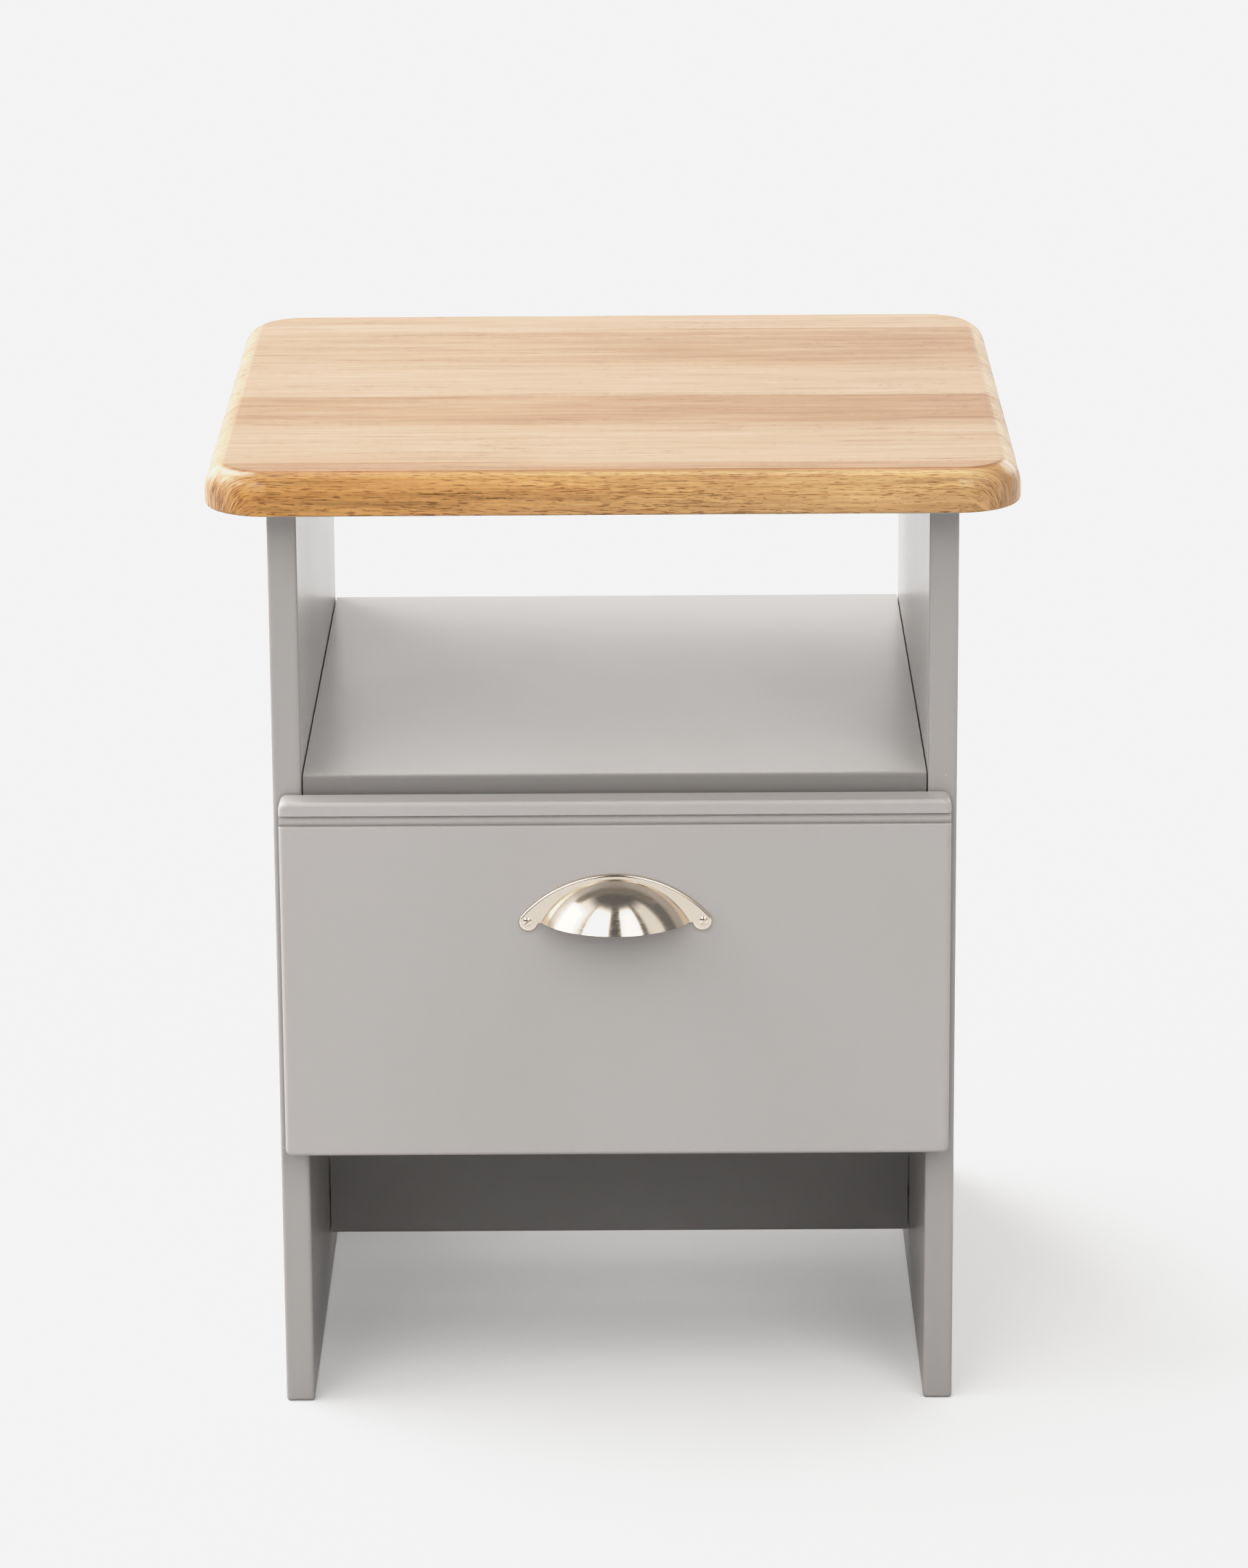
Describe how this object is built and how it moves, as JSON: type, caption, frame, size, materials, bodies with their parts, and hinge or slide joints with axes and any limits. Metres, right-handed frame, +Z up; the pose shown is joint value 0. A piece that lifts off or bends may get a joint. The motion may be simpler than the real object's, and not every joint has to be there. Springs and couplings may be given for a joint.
{
  "type": "lamp table",
  "caption": "Small lamp table with an oak-effect top, grey slab sides, an open shelf and a deep drawer with a cup handle that slides on roller runners.",
  "frame": {"origin": "centre of the bounding box, on the floor under the side panels", "axes": "+Z up, +Y from the drawer front to the back, +X to the right seen from the front"},
  "size_m": [0.438, 0.4216, 0.54],
  "materials": {
    "oak_effect": "satin oak-effect foil, grain across the width",
    "grey_board": "matt warm grey foil on board, lightly embossed",
    "grey_front": "smooth satin warm grey foil on moulded board",
    "drawer_board": "matt grey foil on thin board",
    "hardboard": "grey painted hardboard",
    "nickel": "polished nickel plate",
    "zinc": "zinc plate",
    "beech": "bare beech",
    "runner_enamel": "white enamel on steel sheet",
    "nylon": "white nylon"
  },
  "bodies": {
    "carcass": {"table_top": "oak_effect", "left_side_panel": "grey_board", "right_side_panel": "grey_board", "shelf": "grey_board", "lower_rail": "grey_board", "back_panel": "grey_board", "cam_bolts": "zinc", "cam_locks": "zinc", "wooden_dowels": "beech", "left_cabinet_runner": "runner_enamel", "right_cabinet_runner": "runner_enamel", "runner_screws": "zinc", "cabinet_roller_rivets": "zinc"},
    "drawer": {"drawer_front": "grey_front", "drawer_left_side": "drawer_board", "drawer_right_side": "drawer_board", "drawer_back": "drawer_board", "drawer_bottom": "hardboard", "cup_handle": "nickel", "handle_screws": "nickel", "drawer_cam_bolts": "zinc", "drawer_cam_locks": "zinc", "drawer_dowels": "beech", "drawer_back_screws": "zinc", "drawer_bottom_screws": "zinc", "left_drawer_runner": "runner_enamel", "right_drawer_runner": "runner_enamel", "drawer_runner_screws": "zinc", "drawer_roller_rivets": "zinc"},
    "left_front_roller": {"left_front_roller": "nylon"},
    "right_front_roller": {"right_front_roller": "nylon"},
    "left_rear_roller": {"left_rear_roller": "nylon"},
    "right_rear_roller": {"right_rear_roller": "nylon"}
  },
  "joints": [
    {"name": "drawer_slide", "type": "slide", "parent": "carcass", "child": "drawer", "axis": [0, -1, 0], "range_m": [0, 0.215]},
    {"name": "left_front_roller_turn", "type": "hinge", "parent": "carcass", "child": "left_front_roller", "pos_m": [-0.1644, -0.1492, 0.178], "axis": [1, 0, 0], "continuous": true},
    {"name": "left_rear_roller_turn", "type": "hinge", "parent": "drawer", "child": "left_rear_roller", "pos_m": [-0.1631, 0.1238, 0.1715], "axis": [1, 0, 0], "continuous": true},
    {"name": "right_front_roller_turn", "type": "hinge", "parent": "carcass", "child": "right_front_roller", "pos_m": [0.1644, -0.1492, 0.178], "axis": [1, 0, 0], "continuous": true},
    {"name": "right_rear_roller_turn", "type": "hinge", "parent": "drawer", "child": "right_rear_roller", "pos_m": [0.1631, 0.1238, 0.1715], "axis": [1, 0, 0], "continuous": true}
  ],
  "couplings": [
    {"joint": "left_front_roller_turn", "follows": "drawer_slide", "rad_per_m": 100},
    {"joint": "left_rear_roller_turn", "follows": "drawer_slide", "rad_per_m": 100},
    {"joint": "right_front_roller_turn", "follows": "drawer_slide", "rad_per_m": 100},
    {"joint": "right_rear_roller_turn", "follows": "drawer_slide", "rad_per_m": 100}
  ]
}
